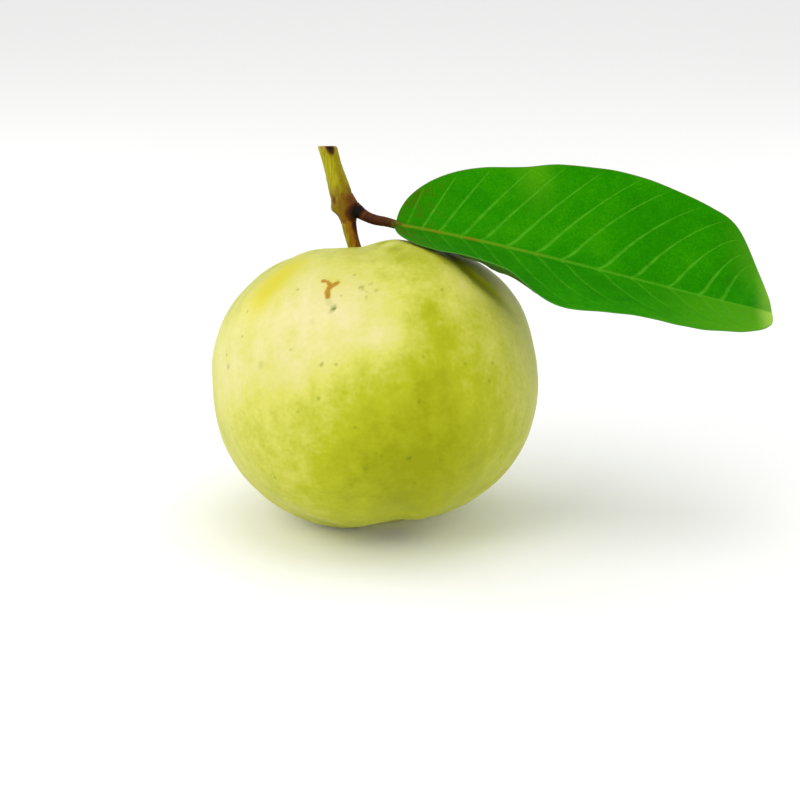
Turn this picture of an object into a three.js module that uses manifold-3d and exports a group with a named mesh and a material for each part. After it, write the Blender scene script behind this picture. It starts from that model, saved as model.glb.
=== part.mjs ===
// A pale green guava, picked with a short piece of its twig and one leaf.
// Millimetres, +Z up. The origin is the centre of the flat spot that the fruit rests on.
// The stem end leans away (+Y) and a little to the left, and the leaf reaches out to the right (+X).

import * as THREE from 'three';
import { mergeVertices } from 'three/addons/utils/BufferGeometryUtils.js';
import Module from 'manifold-3d';

const wasm = await Module();
wasm.setup();

const { degToRad, lerp, smoothstep } = THREE.MathUtils;
const gap = 0.35; // clear space between neighbouring pieces

const fruit = {
  centre: new THREE.Vector3(0.3, -6.7, 41.875), // from the resting spot
  leanAway: degToRad(20),
  leanLeft: degToRad(8),
  radius: 46.9, // round the middle
  stemHalf: 40.2, // middle to the stem end, before the dimple
  blossomHalf: 41.4, // middle to the blossom end, before the basin
  stemFullness: 2.45, // 2 is an ellipse, and more is squarer
  blossomFullness: 2.15,
  dimple: { depth: 4, width: 8, steepness: 2 },
  basin: { depth: 4.5, width: 8.5, steepness: 4 },
  // Low ribs that run from end to end: how many, how high, and the longitude of one crest.
  ribs: [
    { count: 2, height: 0.35, crest: degToRad(170) },
    { count: 3, height: 0.35, crest: degToRad(215) },
    { count: 5, height: 0.6, crest: degToRad(236) },
    { count: 8, height: 0.3, crest: degToRad(262) },
  ],
  // Flat places and swells on the shoulder: angle from the stem end, longitude, depth and spread.
  dents: [
    { from: degToRad(47), turn: degToRad(8), depth: 1.6, spread: degToRad(17) },
    { from: degToRad(36), turn: degToRad(-40), depth: 0.8, spread: degToRad(12) },
    { from: degToRad(32), turn: degToRad(188), depth: -1, spread: degToRad(16) },
    { from: degToRad(36), turn: degToRad(207), depth: 0.9, spread: degToRad(10) },
    { from: degToRad(17), turn: degToRad(5), depth: -0.5, spread: degToRad(12) },
  ],
  swell: { height: 0.25, lengths: [7.3, 8.1, 7.7], starts: [1.1, 0.4, 2] },
  around: 64,
  down: 40,
  crowding: 0.45, // how far the rows of vertices draw together towards the two ends
  socket: { length: 12, around: 24 }, // round the stalk, and long enough to come out of the dimple
};
const table = { width: 200, thickness: 40 }; // cuts the flat spot

const calyx = {
  sepals: 5,
  floorDrop: 37, // centre of the fruit to the floor of the basin
  // Radius and height above the basin's floor, from the underside's middle to the style's scar.
  profile: [[0, 0], [3.4, 0], [4.6, 0.5], [5.4, 1.7], [6.2, 3], [5.5, 3.2], [4.6, 2], [3.4, 1.1],
    [1.3, 0.9], [0.8, 1.7], [0, 1.8]],
  notch: { depth: 0.7, narrowing: 0.12, from: 3.4, to: 4.8 }, // between two sepals, from the cup outwards
  sepalFullness: 0.7,
  unevenness: 0.04,
  cupHeight: 0.3, // the cup's foot stays whole
  around: 50,
};

// The paths of the woody pieces, measured from the centre of the fruit.
const stalk = {
  path: [[-4.38, 11.45, 31.2], [-4.75, 12.4, 33.8], [-6.2, 13.05, 38], [-7.3, 13.5, 42.4],
    [-7.55, 13.6, 43.9]],
  radius: 1.85,
  footFlare: 0.35, // the foot is a little thicker
  around: 12,
  along: 14,
};
const twig = {
  path: [[-7.65, 13.65, 44.35], [-8.1, 13.9, 47.5], [-9.6, 14.5, 51.8], [-11.1, 15.3, 57],
    [-13.8, 17, 66.1]],
  // Half of the thickness at shares of the length, from the foot to the cut end.
  radii: [[0, 2.1], [0.09, 2.65], [0.2, 3.05], [0.34, 3.1], [0.46, 2.9], [0.62, 2.55], [1, 2.5]],
  ridges: { height: 0.07, from: 0.15, to: 0.4 }, // young shoots have four low ones
  levelFrom: 0.85, // the knife went straight across, so the cut end is level
  leafScar: { at: 0.23, turn: degToRad(180), height: 1, length: 1.8, spread: degToRad(34) },
  around: 16,
  along: 22,
};
const petiole = {
  path: [[-3.85, 13.3, 47.1], [-2, 12.5, 46.25], [0.43, 11.4, 45.66], [3.14, 10.2, 45.45],
    [5.2, 9.35, 45.08]],
  radii: [[0, 1.9], [0.25, 1.6], [0.6, 1.45], [1, 1.2]],
  around: 10,
  along: 14,
};

const leaf = {
  // Control points of the midrib, from the leaf's foot to its tip.
  midrib: [[5.86, 9, 44.9], [42, 6.7, 39.3], [78.1, 4.3, 28.2], [114.2, 2, 20.6]],
  halfWidth: 33.5,
  footBluntness: 0.42,
  tipBluntness: 0.34,
  endHalfWidth: 0.9,
  thickness: 0.7,
  // Where the side veins leave the midrib, as shares of its length.
  veins: [0.03, 0.073, 0.12, 0.181, 0.237, 0.306, 0.383, 0.455, 0.553, 0.64, 0.735, 0.815, 0.87, 0.92, 0.96],
  veinSweep: 0.95, // how far the side veins bend towards the tip
  veinBend: 0.4, // the share of that sweep that comes near the margin
  veinSunk: 0.12,
  veinProud: 0.2,
  veinFade: { foot: 0.15, margin: 0.8 }, // shares of the half width where the relief starts and ends
  rib: { halfWidth: 1.1, depth: 1, narrowing: 0.6, thinning: 0.7 },
  // The slope of each half across the leaf, at shares of its length, and how much it curls on the way out.
  farSlope: [[0, 36.5], [0.1, 39], [0.25, 39.7], [0.4, 43.8], [0.55, 49.5], [0.7, 48.4], [0.85, 42.2],
    [1, 10.3]],
  farCurl: degToRad(20),
  nearSlope: [[0, -0.5], [0.1, -0.1], [0.25, -7.7], [0.4, -9.7], [0.55, -6.9], [0.7, -3.2], [0.85, -1.5],
    [1, -1.4]],
  nearCurl: degToRad(12),
  // How far the edges wave up and down.
  farWave: [[0, 0], [0.2, 0.2], [0.3, -0.4], [0.38, 0.3], [0.48, -0.2], [0.7, -0.4], [0.8, 0.1],
    [0.9, 2], [1, 0]],
  nearWave: [[0, 0], [0.11, 0.6], [0.2, 3.2], [0.3, 1], [0.43, 0.4], [0.59, 1.4], [0.78, -0.5], [1, 0]],
  // The near edge turns up where it leaves the fruit.
  upturn: { height: 5.2, at: 0.305, spread: 0.085, steepness: 4 },
  stepsPerVein: 4,
  stepsAcross: 8, // on each side of the midrib
};

const finishes = {
  fruit: { color: 0xcdd06c, roughness: 0.5 },
  calyx: { color: 0x6b4a2a, roughness: 0.85 },
  stalk: { color: 0x8a5a1e, roughness: 0.7 },
  twig: { color: 0x8c7d2a, roughness: 0.65 },
  petiole: { color: 0x573012, roughness: 0.65 },
  leaf: { color: 0x2a8a14, roughness: 0.45 },
};

// A smooth curve through [share, value] pairs.
function along(pairs, share) {
  const last = pairs.length - 1;
  const slopeOf = (i) => (pairs[i + 1][1] - pairs[i][1]) / (pairs[i + 1][0] - pairs[i][0]);
  const spanOf = (i) => pairs[i + 1][0] - pairs[i][0];
  const tangentAt = (i) => {
    if (i === 0) return slopeOf(0);
    if (i === last) return slopeOf(last - 1);
    const before = spanOf(i - 1);
    const after = spanOf(i);
    return (slopeOf(i - 1) * after + slopeOf(i) * before) / (before + after);
  };
  let i = 0;
  while (i < last - 1 && share > pairs[i + 1][0]) i += 1;
  const t = (share - pairs[i][0]) / spanOf(i);
  const bend = t * t * (3 - 2 * t);
  const leave = t * (1 - t) ** 2 * spanOf(i) * tangentAt(i);
  const arrive = t * t * (t - 1) * spanOf(i) * tangentAt(i + 1);
  return lerp(pairs[i][1], pairs[i + 1][1], bend) + leave + arrive;
}

// Moves every vertex of a closed three.js geometry to the place that a function gives it.
function reshape(geometry, place) {
  geometry.deleteAttribute('normal');
  geometry.deleteAttribute('uv');
  const shaped = mergeVertices(geometry);
  const points = shaped.getAttribute('position');
  const point = new THREE.Vector3();
  for (let i = 0; i < points.count; i += 1) {
    place(point.fromBufferAttribute(points, i));
    points.setXYZ(i, point.x, point.y, point.z);
  }
  shaped.computeVertexNormals();
  return shaped;
}

function toSolid(geometry) {
  const vertProperties = new Float32Array(geometry.getAttribute('position').array);
  const triVerts = new Uint32Array(geometry.index.array);
  return new wasm.Manifold(new wasm.Mesh({ numProp: 3, vertProperties, triVerts }));
}

function toGeometry(solid) {
  const { vertProperties, triVerts } = solid.getMesh();
  const geometry = new THREE.BufferGeometry();
  geometry.setAttribute('position', new THREE.BufferAttribute(vertProperties, 3));
  geometry.setIndex(new THREE.BufferAttribute(triVerts, 1));
  geometry.computeVertexNormals();
  return geometry;
}

function makeMesh(name, geometry) {
  const mesh = new THREE.Mesh(geometry, new THREE.MeshStandardMaterial({ ...finishes[name], metalness: 0 }));
  mesh.name = name;
  return mesh;
}

const toVectors = (points) => points.map((point) => new THREE.Vector3(...point));
const bell = (distance, spread) => Math.exp(-((distance / spread) ** 2));
const turnBetween = (a, b) => Math.atan2(Math.sin(a - b), Math.cos(a - b));

// The turn from the fruit's own axis, stem end up, to the way that it rests.
const lean = new THREE.Quaternion()
  .setFromAxisAngle(new THREE.Vector3(0, 1, 0), -fruit.leanLeft)
  .multiply(new THREE.Quaternion().setFromAxisAngle(new THREE.Vector3(1, 0, 0), -fruit.leanAway));

// How deep the dimple or the basin is at a distance from the fruit's axis.
function hollow({ depth, width, steepness }, fromAxis) {
  return depth * Math.exp(-((fromAxis / width) ** steepness));
}

// The skin of the fruit in a direction of its own frame. The direction becomes the point.
function ontoSkin(direction) {
  direction.normalize();
  const height = direction.z;
  const out = Math.hypot(direction.x, direction.y);
  const turn = Math.atan2(direction.y, direction.x);
  const stemSide = smoothstep(height, -0.35, 0.35);
  const half = lerp(fruit.blossomHalf, fruit.stemHalf, stemSide);
  const fullness = lerp(fruit.blossomFullness, fruit.stemFullness, stemSide);
  let radius = ((out / fruit.radius) ** fullness + (Math.abs(height) / half) ** fullness) ** (-1 / fullness);
  const fromAxis = radius * out;
  const ribShare = smoothstep(fromAxis, 4, 22) * (0.35 + 0.65 * smoothstep(Math.abs(height), 0.15, 0.8));
  for (const rib of fruit.ribs) radius += ribShare * rib.height * Math.cos(rib.count * (turn - rib.crest));
  radius -= hollow(height > 0 ? fruit.dimple : fruit.basin, fromAxis);
  for (const dent of fruit.dents) {
    const toDent = height * Math.cos(dent.from) + out * Math.sin(dent.from) * Math.cos(turn - dent.turn);
    radius -= dent.depth * bell(Math.acos(THREE.MathUtils.clamp(toDent, -1, 1)), dent.spread);
  }
  const [sx, sy, sz] = direction.toArray().map((part, i) =>
    Math.sin((radius * part) / fruit.swell.lengths[i] + fruit.swell.starts[i]));
  return direction.multiplyScalar(radius + fruit.swell.height * sx * sy * sz);
}

function makeFruit() {
  const skin = reshape(new THREE.SphereGeometry(1, fruit.around, fruit.down), (point) => {
    const share = Math.acos(THREE.MathUtils.clamp(point.y, -1, 1)) / Math.PI;
    const fromStem = Math.PI * share - 0.5 * fruit.crowding * Math.sin(2 * Math.PI * share);
    const turn = Math.atan2(-point.z, point.x);
    const out = Math.sin(fromStem);
    point.set(out * Math.cos(turn), out * Math.sin(turn), Math.cos(fromStem));
    ontoSkin(point).applyQuaternion(lean);
  });
  const [foot, next] = toVectors(stalk.path);
  const way = next.clone().sub(foot).normalize();
  const { length, around } = fruit.socket;
  const radius = stalk.radius + stalk.footFlare + gap;
  const socket = reshape(new THREE.CylinderGeometry(radius, radius, length, around), (point) => {
    point.applyQuaternion(new THREE.Quaternion().setFromUnitVectors(new THREE.Vector3(0, 1, 0), way));
    point.add(foot).addScaledVector(way, length / 2 - gap);
  });
  const slab = reshape(new THREE.BoxGeometry(table.width, table.width, table.thickness), (point) => {
    point.z -= fruit.centre.z + table.thickness / 2;
  });
  return toGeometry(toSolid(skin).subtract(toSolid(socket)).subtract(toSolid(slab)));
}

function makeCalyx() {
  const { notch } = calyx;
  const outline = calyx.profile.map(([radius, height]) => new THREE.Vector2(radius, height));
  const rim = Math.max(...calyx.profile.map(([, height]) => height));
  return reshape(new THREE.LatheGeometry(outline, calyx.around), (point) => {
    const radius = Math.hypot(point.x, point.z);
    const turn = Math.atan2(point.z, point.x);
    const sepal = Math.abs(Math.cos((calyx.sepals * turn) / 2)) ** calyx.sepalFullness;
    const lobed = smoothstep(radius, notch.from, notch.to) * (1 - sepal) * notch.depth;
    const flare = 1 - notch.narrowing * lobed - calyx.unevenness * Math.sin(turn + 1);
    point.x *= flare;
    point.z *= flare;
    point.y *= 1 - lobed * smoothstep(point.y, calyx.cupHeight, rim);
  });
}

// A closed round bar along a path: radiusAt gives its radius at a share of the length and a turn.
// The turn starts at the right (+X) and goes round by the near side (-Y). Where levelAt gives 1, the
// bar's cross-section lies level, and where it gives 0 it stands square to the path.
function makeBar({ path, around, along: rows }, radiusAt, levelAt = () => 0) {
  const curve = new THREE.CatmullRomCurve3(toVectors(path), false, 'centripetal');
  const near = new THREE.Vector3(0, -1, 0);
  return reshape(new THREE.CylinderGeometry(1, 1, 1, around, rows), (point) => {
    const share = point.y + 0.5;
    const turn = Math.atan2(point.z, point.x);
    const radius = Math.hypot(point.x, point.z) * radiusAt(share, turn);
    const way = curve.getTangentAt(share);
    const side = new THREE.Vector3().crossVectors(way, near).normalize();
    const front = new THREE.Vector3().crossVectors(side, way);
    curve.getPointAt(share, point);
    const middle = point.z;
    point.addScaledVector(side, radius * Math.cos(turn)).addScaledVector(front, radius * Math.sin(turn));
    point.addScaledVector(way, (levelAt(share) * (middle - point.z)) / way.z);
  });
}

function makeStalk() {
  return makeBar(stalk, (share) => stalk.radius + stalk.footFlare * bell(share, 0.25));
}

function makeTwig() {
  const { leafScar, ridges } = twig;
  const length = new THREE.CatmullRomCurve3(toVectors(twig.path)).getLength();
  const radiusAt = (share, turn) => {
    const ridged = 1 + ridges.height * smoothstep(share, ridges.from, ridges.to) * Math.cos(4 * turn);
    const nearScar = bell((share - leafScar.at) * length, leafScar.length);
    const scar = leafScar.height * nearScar * bell(turnBetween(turn, leafScar.turn), leafScar.spread);
    return along(twig.radii, share) * ridged + scar;
  };
  return makeBar(twig, radiusAt, (share) => smoothstep(share, twig.levelFrom, 1));
}

function makePetiole() {
  return makeBar(petiole, (share) => along(petiole.radii, share));
}

function halfWidthAt(share) {
  const { footBluntness: foot, tipBluntness: tip } = leaf;
  const widest = foot / (foot + tip);
  const top = widest ** foot * (1 - widest) ** tip;
  const inside = THREE.MathUtils.clamp(share, 0, 1);
  return Math.max(leaf.endHalfWidth, (leaf.halfWidth * inside ** foot * (1 - inside) ** tip) / top);
}

// A point of the blade. start is where its side vein leaves the midrib, row counts outwards from the
// midrib (negative on the near side), face is 1 on top and -1 beneath, and phase runs from vein to vein.
function bladePoint(point, start, row, face, phase) {
  const [foot, first, second, tip] = toVectors(leaf.midrib);
  const rows = leaf.stepsAcross;
  const far = row >= 0;
  const rowShare = Math.max(0, Math.abs(row) - 1) / (rows - 1);
  const sweep = lerp(rowShare, rowShare ** 2, leaf.veinBend);
  const share = start + leaf.veinSweep * start * (1 - start) * sweep;
  const midrib = new THREE.CubicBezierCurve3(foot, first, second, tip);
  const way = midrib.getTangent(share);
  const side = new THREE.Vector3(-way.y, way.x, 0).normalize();
  const up = new THREE.Vector3().crossVectors(way, side);
  const width = halfWidthAt(share);
  const rib = Math.min(leaf.rib.halfWidth * (1 - leaf.rib.narrowing * share), width / 2);
  const fromMidrib = row === 0 ? 0 : rib + (width - rib) * rowShare;
  const out = fromMidrib / width;
  const curl = far ? leaf.farCurl : leaf.nearCurl;
  const firstSlope = degToRad(along(far ? leaf.farSlope : leaf.nearSlope, share)) - curl / 2;
  const slope = firstSlope + curl * out;
  const chord = (firstSlope + slope) / 2;
  const sign = far ? 1 : -1;
  const wave = along(far ? leaf.farWave : leaf.nearWave, share);
  const upturn = far ? 0 : leaf.upturn.height * bell(share - leaf.upturn.at, leaf.upturn.spread);
  const { steepness } = leaf.upturn;
  point.copy(midrib.getPoint(share));
  point.addScaledVector(side, sign * fromMidrib * Math.cos(chord));
  point.addScaledVector(up, fromMidrib * Math.sin(chord) + wave * out ** 2 + upturn * out ** steepness);
  const otherFirst = degToRad(along(far ? leaf.nearSlope : leaf.farSlope, share)) - leaf.nearCurl / 2;
  const waveSlope = Math.atan((2 * wave * out + steepness * upturn * out ** (steepness - 1)) / width);
  const tilt = row === 0 ? (firstSlope - otherFirst) / 2 : sign * (slope + waveSlope);
  const fade = smoothstep(out, 0, leaf.veinFade.foot) * (1 - smoothstep(out, leaf.veinFade.margin, 1));
  const relief = Math.cos(2 * Math.PI * phase) * fade;
  const body = leaf.thickness / 2;
  let height = face > 0 ? body - leaf.veinSunk * relief : -body - leaf.veinProud * Math.max(0, relief);
  if (row === 0 && face < 0) height -= leaf.rib.depth * (1 - leaf.rib.thinning * share);
  point.addScaledVector(up, height * Math.cos(tilt)).addScaledVector(side, -height * Math.sin(tilt));
}

// Splits the squares of a box's under face along the same diagonals as its top face.
function matchDiagonals(geometry) {
  const under = geometry.groups[5];
  const corners = geometry.index.array;
  for (let i = under.start; i < under.start + under.count; i += 6) {
    const [a, b, , , c, d] = corners.slice(i, i + 6);
    corners.set([a, b, c, a, c, d], i);
  }
  return geometry;
}

function makeLeaf() {
  const starts = [0, ...leaf.veins, 1];
  const columns = (starts.length - 1) * leaf.stepsPerVein;
  const box = new THREE.BoxGeometry(columns, 2 * leaf.stepsAcross, 2, columns, 2 * leaf.stepsAcross, 1);
  return reshape(matchDiagonals(box), (point) => {
    const place = (point.x + columns / 2) / leaf.stepsPerVein;
    const vein = Math.min(Math.floor(place + 1e-6), starts.length - 2);
    const start = lerp(starts[vein], starts[vein + 1], place - vein);
    bladePoint(point, start, Math.round(point.y), point.z, place);
  });
}

const guava = new THREE.Group();
const whole = new THREE.Group();
whole.position.copy(fruit.centre);
guava.add(whole);

whole.add(makeMesh('fruit', makeFruit()));
whole.add(makeMesh('stalk', makeStalk()));
whole.add(makeMesh('twig', makeTwig()));
whole.add(makeMesh('petiole', makePetiole()));
whole.add(makeMesh('leaf', makeLeaf()));

// The calyx hangs upside down in the basin at the blossom end.
const blossomEnd = new THREE.Group();
blossomEnd.quaternion.copy(lean);
whole.add(blossomEnd);
const crown = makeMesh('calyx', makeCalyx());
crown.rotation.x = -Math.PI / 2;
crown.position.z = -calyx.floorDrop - gap;
blossomEnd.add(crown);

export default guava;
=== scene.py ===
# A pale green guava with its stalk, a cut piece of twig and one leaf.
# Sizes are in millimetres, measured from the centre of the fruit, and go to metres in makePiece.

import math
import bpy
import numpy as np
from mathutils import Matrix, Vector, noise


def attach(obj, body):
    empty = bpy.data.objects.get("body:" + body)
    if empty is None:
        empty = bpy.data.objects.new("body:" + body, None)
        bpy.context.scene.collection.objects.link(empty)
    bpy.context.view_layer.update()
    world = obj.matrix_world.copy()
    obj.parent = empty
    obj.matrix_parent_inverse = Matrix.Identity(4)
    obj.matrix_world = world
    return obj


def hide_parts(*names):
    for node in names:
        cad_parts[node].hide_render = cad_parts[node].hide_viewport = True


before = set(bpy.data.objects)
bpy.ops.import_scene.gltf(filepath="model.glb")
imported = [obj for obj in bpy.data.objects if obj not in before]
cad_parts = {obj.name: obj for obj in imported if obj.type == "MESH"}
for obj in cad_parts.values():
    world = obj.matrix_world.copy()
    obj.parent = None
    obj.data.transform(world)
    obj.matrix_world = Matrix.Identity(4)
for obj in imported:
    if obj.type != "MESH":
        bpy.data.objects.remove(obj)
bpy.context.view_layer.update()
mm = 0.001


def smoothstep(value, low, high):
    share = np.clip((value - low) / (high - low), 0, 1)
    return share * share * (3 - 2 * share)


def bell(distance, spread):
    return np.exp(-(distance / spread) ** 2)


def lumps(points, size, shift=0):  # smooth noise from -1 to 1, with lumps about size millimetres across
    start = Vector((7.3, 3.1, 5.7)) * shift
    flat = np.asarray(points, float).reshape(-1, 3) / size
    values = [noise.noise(Vector(point) + start) for point in flat]
    return np.array(values).reshape(np.shape(points)[:-1])


def crowd(share, amount):  # even steps from 0 to 1, drawn together at both ends
    return share - amount * np.sin(2 * np.pi * share) / (2 * np.pi)


def offTurn(turn, centre):  # signed angle from centre, in radians
    return np.arctan2(np.sin(turn - centre), np.cos(turn - centre))


def along(pairs, share):  # a smooth curve through (share, value) pairs
    at, value = np.array(pairs, float).T
    span = np.diff(at)
    slope = np.diff(value) / span
    inner = (slope[:-1] * span[1:] + slope[1:] * span[:-1]) / (span[:-1] + span[1:])
    tangent = np.concatenate([slope[:1], inner, slope[-1:]])
    i = np.clip(np.searchsorted(at, share) - 1, 0, len(span) - 1)
    t = (share - at[i]) / span[i]
    ends = value[i] + (value[i + 1] - value[i]) * t * t * (3 - 2 * t)
    return ends + span[i] * (t * (1 - t) ** 2 * tangent[i] + t * t * (t - 1) * tangent[i + 1])


def followPath(path, shares):  # points and directions of a centripetal Catmull-Rom curve
    points = np.array(path, float)
    points = np.vstack([2 * points[0] - points[1], points, 2 * points[-1] - points[-2]])
    t = np.linspace(0, 1, 60, endpoint=False)[:, None]
    dense = []
    for a, b, c, d in zip(points, points[1:], points[2:], points[3:]):
        before, here, after = [np.linalg.norm(q - p) ** 0.5 for p, q in ((a, b), (b, c), (c, d))]
        leave = ((b - a) / before - (c - a) / (before + here) + (c - b) / here) * here
        arrive = ((c - b) / here - (d - b) / (here + after) + (d - c) / after) * here
        bend = t * t * (3 - 2 * t)
        dense.append(b + (c - b) * bend + leave * t * (1 - t) ** 2 + arrive * t * t * (t - 1))
    dense = np.vstack([*dense, points[-2:-1]])
    lengths = np.concatenate([[0], np.cumsum(np.linalg.norm(np.diff(dense, axis=0), axis=1))])
    ways = np.gradient(dense, axis=0)
    at = np.asarray(shares) * lengths[-1]
    spots = np.stack([np.interp(at, lengths, axis) for axis in dense.T], -1)
    ways = np.stack([np.interp(at, lengths, axis) for axis in ways.T], -1)
    return spots, ways / np.linalg.norm(ways, axis=-1, keepdims=True), lengths[-1]


def closedForm(rings, fields=None):  # rings of points, closed at both ends by a fan
    rows, around = rings.shape[:2]
    index = np.arange(rows * around).reshape(rows, around)
    after = np.roll(index, -1, axis=1)
    quads = np.stack([index[:-1], after[:-1], after[1:], index[1:]], -1).reshape(-1, 4)
    points = np.vstack([rings.reshape(-1, 3), rings[0].mean(0), rings[-1].mean(0)])
    faces = quads.tolist()
    faces += [(int(b), int(a), rows * around) for a, b in zip(index[0], after[0])]
    faces += [(int(a), int(b), rows * around + 1) for a, b in zip(index[-1], after[-1])]
    a, b, c, d = (points[quads[:, i]] for i in range(4))
    volume = np.einsum("ij,ij", a, np.cross(b, c) + np.cross(c, d))
    if volume < 0:
        faces = [face[::-1] for face in faces]
    values = {}
    for name, field in (fields or {}).items():
        field = np.broadcast_to(field, (rows, around))
        values[name] = np.concatenate([field.ravel(), [field[0].mean(), field[-1].mean()]])
    return points, faces, values


def addObject(name, data):
    thing = bpy.data.objects.new(name, data)
    bpy.context.collection.objects.link(thing)
    return thing


def makePiece(name, forms, material, node):  # one object from closed forms, in place of a node
    points = np.vstack([form[0] for form in forms]) + np.array(fruit["centre"])
    faces = []
    first = 0
    for formPoints, formFaces, _ in forms:
        faces += [[corner + first for corner in face] for face in formFaces]
        first += len(formPoints)
    mesh = bpy.data.meshes.new(name)
    mesh.from_pydata(points * mm, [], faces)
    for field in forms[0][2]:
        values = np.concatenate([form[2][field] for form in forms]).astype(np.float32)
        mesh.attributes.new(field, "FLOAT", "POINT").data.foreach_set("value", values)
    mesh.shade_smooth()
    mesh.materials.append(material)
    piece = addObject(name, mesh)
    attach(piece, "root")
    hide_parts(node)
    print(f"{name}: {len(points)} points, {len(faces)} faces")
    return piece


def linear(hexColour):  # sRGB hex to linear light
    channels = [int(hexColour[i:i + 2], 16) / 255 for i in (1, 3, 5)]
    return [c / 12.92 if c <= 0.04045 else ((c + 0.055) / 1.055) ** 2.4 for c in channels] + [1]


def startMaterial(name, shader):  # a material whose shader has these uniform values
    material = bpy.data.materials.new(name)
    material.use_nodes = True
    principled = material.node_tree.nodes["Principled BSDF"]
    for socket, value in shader.items():
        principled.inputs[socket].default_value = value
    return material, material.node_tree, principled


# Sets up a node. Lower-case settings are its properties, stops are a ramp's colours, and the rest are
# sockets, by name or by place: a node or a socket there is linked, and a value is set.
def setNode(tree, node, settings):
    for name, value in settings.items():
        if name == "stops":
            ramp = node.color_ramp.elements
            while len(ramp) < len(value):
                ramp.new(0.5)
            for element, (position, colour) in zip(ramp, value):
                element.position = position
                element.color = linear(colour)
        elif isinstance(name, str) and name[0].islower():
            setattr(node, name, value)
        else:
            sockets = [s for s in node.inputs if s.enabled]
            socket = sockets[name] if isinstance(name, int) else next(s for s in sockets if s.name == name)
            if isinstance(value, bpy.types.Node):
                value = next(s for s in value.outputs if s.enabled)
            if isinstance(value, bpy.types.NodeSocket):
                tree.links.new(socket, value)
            else:
                socket.default_value = linear(value) if isinstance(value, str) else value
    return node


def addNode(tree, kind, settings):
    return setNode(tree, tree.nodes.new("ShaderNode" + kind), settings)


def readMesh(tree, names):  # the place on the piece, and its fields by name
    place = addNode(tree, "TexCoord", {}).outputs["Object"]
    fields = {name: addNode(tree, "Attribute", {"attribute_name": name}).outputs["Fac"] for name in names}
    return place, fields


def perMetre(size):  # texture scale whose features are size millimetres across
    return 1 / (size * mm)


# Camera, floor and light

view = {"elevation": 18, "distance": 644, "lens": 100, "aimRight": 7.2, "aimUp": -4.9}
studio = {
    "floor": "#ffffff",
    "floorHalf": 6,  # in metres
    "floorDrop": 0.05,  # just under the flat spot
    "sky": 0.8,
    "lamps": [  # name, place, size, power, colour
        ("key", (-420, -560, 640), 420, 1.3, "#fffaf0"),
        ("fill", (-100, -760, 120), 500, 1.3, "#ffffff"),
        ("top", (60, -120, 850), 600, 1.3, "#ffffff"),
        ("rimRight", (520, 420, 240), 300, 0.3, "#ffffff"),
        ("rimLeft", (-560, 300, 260), 300, 0.8, "#ffffff"),
    ],
}


def makeStudio():
    elevation = math.radians(view["elevation"])
    up = Vector((0, math.sin(elevation), math.cos(elevation)))
    back = Vector((0, -math.cos(elevation), math.sin(elevation)))
    aim = Vector(fruit["centre"]) + Vector((view["aimRight"], 0, 0)) + up * view["aimUp"]
    camera = bpy.data.cameras.new("camera")
    camera.lens = view["lens"]
    eye = addObject("camera", camera)
    eye.location = (aim + back * view["distance"]) * mm
    eye.rotation_euler = (-back).to_track_quat("-Z", "Y").to_euler()
    bpy.context.scene.camera = eye
    for name, place, size, power, colour in studio["lamps"]:
        lamp = bpy.data.lights.new(name, "AREA")
        lamp.shape = "DISK"
        lamp.size = size * mm
        lamp.energy = power
        lamp.color = linear(colour)[:3]
        lampObject = addObject(name, lamp)
        lampObject.location = Vector(place) * mm
        inwards = Vector(fruit["centre"]) - Vector(place)
        lampObject.rotation_euler = inwards.to_track_quat("-Z", "Y").to_euler()
    world = bpy.data.worlds.new("studio")
    world.use_nodes = True
    sky = world.node_tree.nodes["Background"]
    sky.inputs["Color"].default_value = linear("#ffffff")
    sky.inputs["Strength"].default_value = studio["sky"]
    bpy.context.scene.world = world
    bpy.context.scene.view_settings.view_transform = "Standard"
    paper = startMaterial("matte paper", {"Base Color": linear(studio["floor"]), "Roughness": 0.9})[0]
    mesh = bpy.data.meshes.new("floor")
    half = studio["floorHalf"]
    corners = [(-half, -half, 0), (half, -half, 0), (half, half, 0), (-half, half, 0)]
    mesh.from_pydata(corners, [], [(0, 1, 2, 3)])
    mesh.materials.append(paper)
    floor = addObject("floor", mesh)
    floor.location.z = -studio["floorDrop"] * mm
    print("studio ready")


# The fruit

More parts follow.
